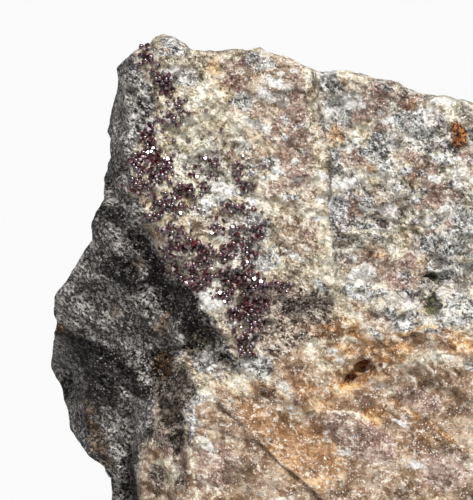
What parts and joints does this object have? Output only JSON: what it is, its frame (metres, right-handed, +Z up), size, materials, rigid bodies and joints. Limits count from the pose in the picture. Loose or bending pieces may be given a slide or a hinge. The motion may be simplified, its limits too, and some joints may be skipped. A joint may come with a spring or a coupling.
{
  "type": "mineral specimen",
  "caption": "Hand specimen of vein quartz with dark wall rock down one side and druses of dark red pucherite crystals on its display face.",
  "frame": {"origin": "middle of the bounding box, on the flat break that the stone stands on", "axes": "+Z up the display face, -Y out of the display face, +X to the viewer's right"},
  "size_m": [0.0482, 0.0318, 0.0536],
  "materials": {
    "matrix": "broken vein quartz, sugary grain, with ochre iron stains and charcoal wall rock on the left",
    "pucherite": "adamantine dark maroon crystal faces"
  },
  "bodies": {
    "root": {"matrix": "matrix", "pucherite_brow": "pucherite", "pucherite_foot_knot": "pucherite", "pucherite_left_edge": "pucherite", "pucherite_left_knot": "pucherite", "pucherite_left_string": "pucherite", "pucherite_lower_knot": "pucherite", "pucherite_lower_string": "pucherite", "pucherite_main_left": "pucherite", "pucherite_main_right": "pucherite", "pucherite_middle": "pucherite", "pucherite_middle_knot": "pucherite", "pucherite_middle_side": "pucherite", "pucherite_middle_string": "pucherite", "pucherite_peak": "pucherite", "pucherite_red_line": "pucherite", "pucherite_right_knot": "pucherite", "pucherite_right_pair": "pucherite", "pucherite_right_single": "pucherite", "pucherite_right_string": "pucherite", "pucherite_shelf": "pucherite", "pucherite_shelf_side": "pucherite", "pucherite_upper_middle": "pucherite", "pucherite_upper_right": "pucherite"}
  },
  "joints": []
}
